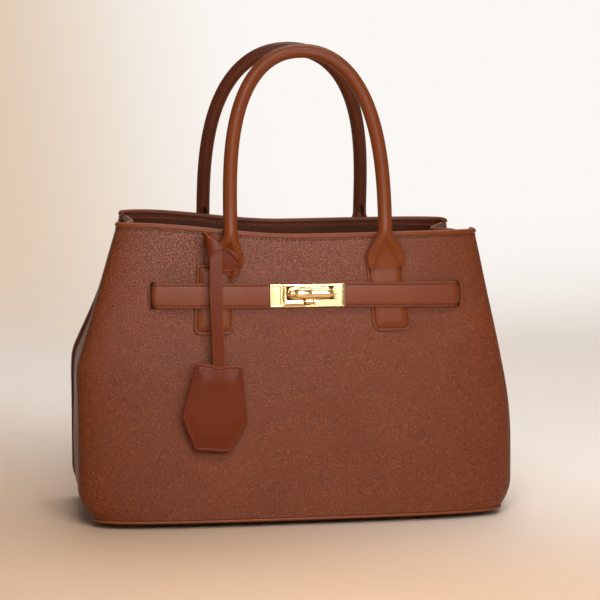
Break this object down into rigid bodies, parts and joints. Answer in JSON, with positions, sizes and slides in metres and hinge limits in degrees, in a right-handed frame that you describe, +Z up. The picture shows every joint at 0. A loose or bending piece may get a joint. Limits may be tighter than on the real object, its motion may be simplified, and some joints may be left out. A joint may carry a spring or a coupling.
{
  "type": "structured leather tote bag",
  "caption": "Structured leather tote bag with folding side gussets, rolled handles on flared tabs, a belt closed by plates over a turning toggle, metal feet and a bell-shaped hanging tag.",
  "frame": {"origin": "on the floor under the middle of the bag", "axes": "+X towards the bag's right end as its front is looked at, +Y towards its back, +Z up; the front with the belt and the tag faces -Y"},
  "size_m": [0.3472, 0.1555, 0.3749],
  "materials": {
    "pebbled_leather": "pebbled grain, low sheen",
    "smooth_leather": "smooth, waxed, low sheen",
    "tag_leather": "smooth, satin",
    "lining_suede": "matt suede",
    "gold_plate": "polished",
    "leatherboard": "raw",
    "handle_cord": "twisted cord"
  },
  "bodies": {
    "bag": {"front_panel": "pebbled_leather", "back_panel": "pebbled_leather", "left_gusset": "pebbled_leather", "right_gusset": "pebbled_leather", "base_panel": "pebbled_leather", "base_board": "leatherboard", "base_piping": "smooth_leather", "lining": "lining_suede", "mouth_facing": "smooth_leather", "front_rim_binding": "smooth_leather", "back_rim_binding": "smooth_leather", "left_gusset_binding": "smooth_leather", "right_gusset_binding": "smooth_leather", "foot_front_left": "gold_plate", "foot_front_right": "gold_plate", "foot_back_left": "gold_plate", "foot_back_right": "gold_plate", "foot_washer_front_left": "gold_plate", "foot_washer_front_right": "gold_plate", "foot_washer_back_left": "gold_plate", "foot_washer_back_right": "gold_plate", "front_tab_left": "smooth_leather", "front_tab_right": "smooth_leather", "back_tab_left": "smooth_leather", "back_tab_right": "smooth_leather", "belt_left": "smooth_leather", "belt_right_end": "smooth_leather", "belt_welt_left": "smooth_leather", "belt_welt_right": "smooth_leather", "clasp_post": "gold_plate", "clasp_backing": "gold_plate", "clasp_plate_left": "gold_plate"},
    "toggle": {"toggle": "gold_plate"},
    "belt_flap": {"belt_right": "smooth_leather", "clasp_plate_right": "gold_plate"},
    "front_handle": {"front_handle": "smooth_leather", "front_handle_core": "handle_cord", "tag_loop": "smooth_leather"},
    "back_handle": {"back_handle": "smooth_leather", "back_handle_core": "handle_cord"},
    "tag_knot": {"tag_knot": "smooth_leather"},
    "tag": {"tag_strap": "smooth_leather", "tag_front_leaf": "tag_leather", "tag_insert": "tag_leather", "tag_back_leaf": "tag_leather"}
  },
  "joints": [
    {"name": "toggle_turn", "type": "hinge", "parent": "bag", "child": "toggle", "pos_m": [0.004, -0.07544, 0.18446], "axis": [0, -0.9973, 0.0728], "range_deg": [0, 90]},
    {"name": "belt_open", "type": "hinge", "parent": "bag", "child": "belt_flap", "pos_m": [0.11683, -0.06543, 0.18209], "axis": [-0.0092, 0.0921, 0.9957], "range_deg": [0, 75]},
    {"name": "front_handle_tilt", "type": "hinge", "parent": "bag", "child": "front_handle", "pos_m": [0.004, -0.06473, 0.19493], "axis": [1, 0, 0], "range_deg": [0, 60]},
    {"name": "back_handle_tilt", "type": "hinge", "parent": "bag", "child": "back_handle", "pos_m": [0.0024, 0.06422, 0.202], "axis": [-1, 0, 0], "range_deg": [0, 60]},
    {"name": "tag_hang", "type": "hinge", "parent": "front_handle", "child": "tag_knot", "pos_m": [-0.0665, -0.07577, 0.23207], "axis": [1, 0, 0], "range_deg": [-60, 0]},
    {"name": "tag_swing", "type": "hinge", "parent": "tag_knot", "child": "tag", "pos_m": [-0.0665, -0.07577, 0.2185], "axis": [0, 1, 0], "range_deg": [-20, 20]}
  ],
  "couplings": [
    {"joint": "tag_hang", "follows": "front_handle_tilt", "ratio": -1}
  ]
}
